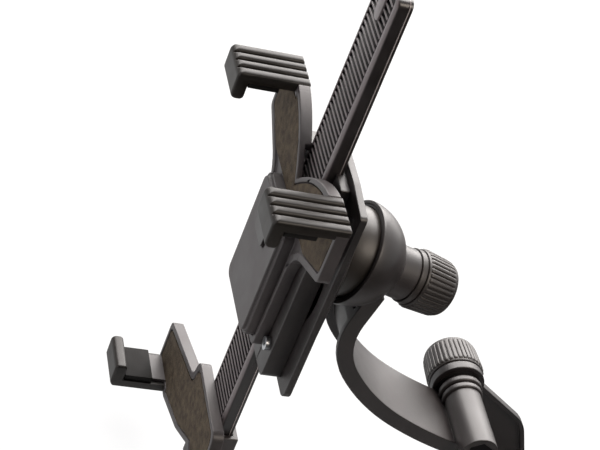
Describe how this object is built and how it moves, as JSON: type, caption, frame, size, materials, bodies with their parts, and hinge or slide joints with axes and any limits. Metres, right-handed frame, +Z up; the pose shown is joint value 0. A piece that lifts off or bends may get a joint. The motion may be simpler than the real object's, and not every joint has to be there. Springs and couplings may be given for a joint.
{
  "type": "tablet holder",
  "caption": "Adjustable vehicle holder for a flat tablet: rubber-lipped sliding jaw on a ratchet rail, clamped ball joint, curved bracket and pivoting screw-down arm.",
  "frame": {"origin": "centre of the foot plate's underside, in the middle of its four screw holes", "axes": "+Z up along the rail, -Y towards the person who looks at the tablet, X across the holder"},
  "size_m": [0.14, 0.2161, 0.272],
  "materials": {
    "shell_black": "satin moulded plastic",
    "rail_black": "satin moulded plastic with crisp ribs",
    "bracket_black": "satin glass-filled nylon",
    "knob_black": "satin moulded plastic",
    "ball_black": "smooth polished plastic",
    "grip_rubber": "matte olive-grey rubber",
    "pad_rubber": "matte soft rubber",
    "brown_lining": "textured brown foam rubber",
    "screw_steel": "zinc-plated",
    "insert_brass": "turned",
    "liner_nylon": "natural nylon"
  },
  "bodies": {
    "arm": {"lower_arm": "bracket_black", "elbow_disc": "liner_nylon"},
    "bracket": {"bracket": "bracket_black", "clamp_screw": "screw_steel", "elbow_bolt": "screw_steel"},
    "elbow_knob": {"elbow_knob": "knob_black", "elbow_knob_nut": "insert_brass"},
    "ball_knob": {"ball_knob": "knob_black", "ball_knob_nut": "insert_brass", "ball_knob_washer": "knob_black"},
    "liner": {"ball_liner": "liner_nylon"},
    "dome": {"pressure_dome": "screw_steel"},
    "head": {"upper_yoke": "shell_black", "upper_lining": "brown_lining", "upper_left_grip": "grip_rubber", "upper_right_grip": "grip_rubber", "upper_left_pad": "pad_rubber", "upper_right_pad": "pad_rubber", "slider_housing": "shell_black", "back_plate": "shell_black", "housing_screws": "screw_steel", "ball": "ball_black", "ball_screws": "screw_steel", "rocker_pin": "screw_steel"},
    "rocker": {"release_rocker": "shell_black", "rocker_spring": "screw_steel"},
    "jaw": {"rail": "rail_black", "lower_yoke": "shell_black", "lower_lining": "brown_lining", "lower_left_grip": "grip_rubber", "lower_right_grip": "grip_rubber", "lower_left_pad": "pad_rubber", "lower_right_pad": "pad_rubber", "lower_yoke_screws": "screw_steel"}
  },
  "joints": [
    {"name": "elbow", "type": "hinge", "parent": "arm", "child": "bracket", "pos_m": [0, -0.052, 0.075], "axis": [1, 0, 0], "range_deg": [-60, 20]},
    {"name": "elbow_knob_turn", "type": "hinge", "parent": "bracket", "child": "elbow_knob", "pos_m": [0, -0.052, 0.075], "axis": [1, 0, 0], "range_deg": [0, 270]},
    {"name": "ball_knob_turn", "type": "hinge", "parent": "bracket", "child": "ball_knob", "pos_m": [0, -0.1321, 0.1516], "axis": [0, 0.9613, -0.2756], "range_deg": [-270, 0]},
    {"name": "ball_swivel", "type": "hinge", "parent": "bracket", "child": "liner", "pos_m": [0, -0.1321, 0.1516], "axis": [0, 0.9613, -0.2756], "continuous": true},
    {"name": "ball_nod", "type": "hinge", "parent": "liner", "child": "dome", "pos_m": [0, -0.1321, 0.1516], "axis": [1, 0, 0], "range_deg": [-31, 1]},
    {"name": "ball_side_tilt", "type": "hinge", "parent": "dome", "child": "head", "pos_m": [0, -0.1321, 0.1516], "axis": [0, 0, 1], "range_deg": [-8, 8]},
    {"name": "jaw_slide", "type": "slide", "parent": "head", "child": "jaw", "axis": [0, 0, 1], "range_m": [-0.0621, 0.0459]},
    {"name": "release_press", "type": "hinge", "parent": "head", "child": "rocker", "pos_m": [0, -0.1652, 0.143], "axis": [1, 0, 0], "range_deg": [0, 3.5], "stiffness_Nm_per_rad": 0.05, "springref_deg": 1.72}
  ]
}
